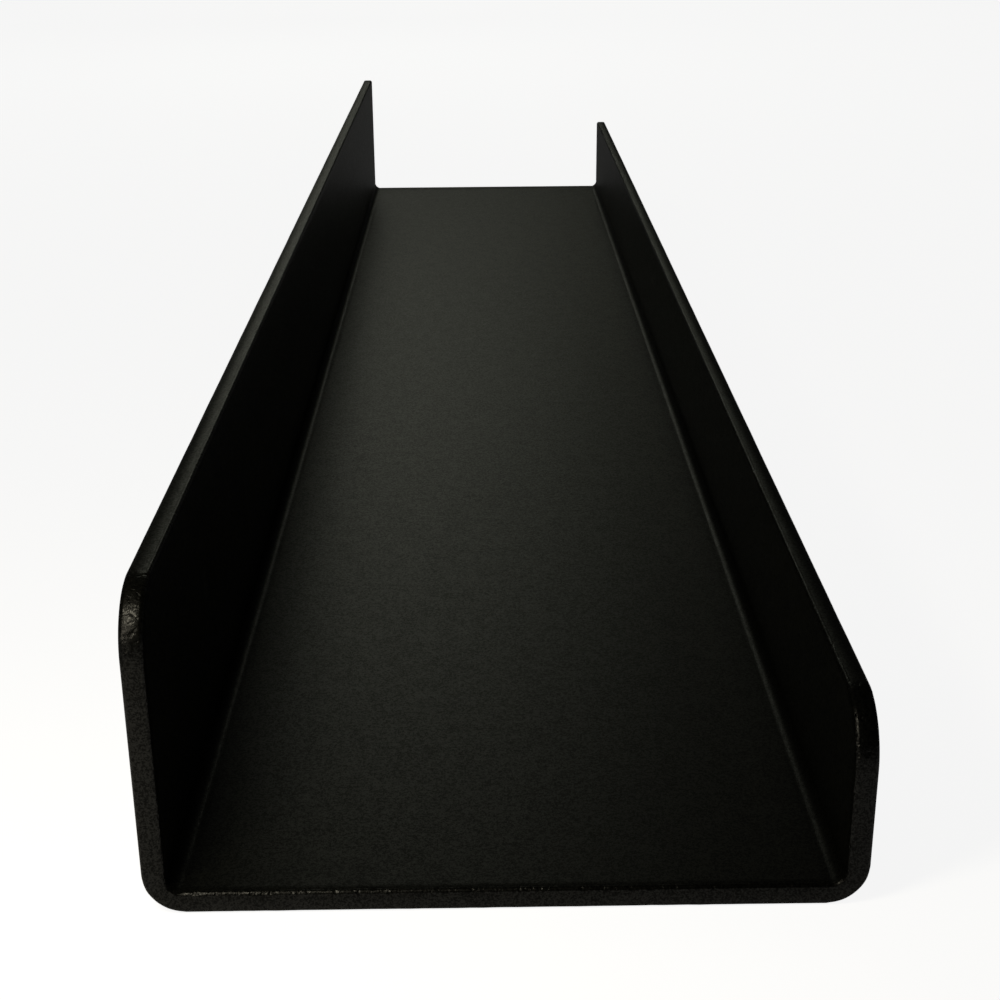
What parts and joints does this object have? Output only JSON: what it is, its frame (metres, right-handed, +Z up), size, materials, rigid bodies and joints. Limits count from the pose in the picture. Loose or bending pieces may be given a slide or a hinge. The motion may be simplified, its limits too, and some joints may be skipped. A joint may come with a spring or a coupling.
{
  "type": "sluice box trough",
  "caption": "Bare open-ended sluice trough in thick coated plate: flat bed between a tall and a short side wall, long corners welded and rounded, near top corners rounded.",
  "frame": {"origin": "centre of the overall box at its base: middle of the length and the width, on the plane of the underside", "axes": "+Y along the trough from the end with the rounded top corners to the square end, +X from the tall wall to the short wall, +Z up out of the open top"},
  "size_m": [0.18, 0.915, 0.086],
  "materials": {
    "coated_plate": "black fine-textured baked powder coating on plate, satin to matt, with a grain of about half a millimetre",
    "coated_weld": "the same black fine-textured coating over dressed weld metal, slightly uneven along its length"
  },
  "bodies": {
    "root": {"floor_plate": "coated_plate", "tall_side_plate": "coated_plate", "short_side_plate": "coated_plate", "tall_side_corner_weld": "coated_weld", "short_side_corner_weld": "coated_weld", "tall_side_fillet_weld": "coated_weld", "short_side_fillet_weld": "coated_weld"}
  },
  "joints": []
}
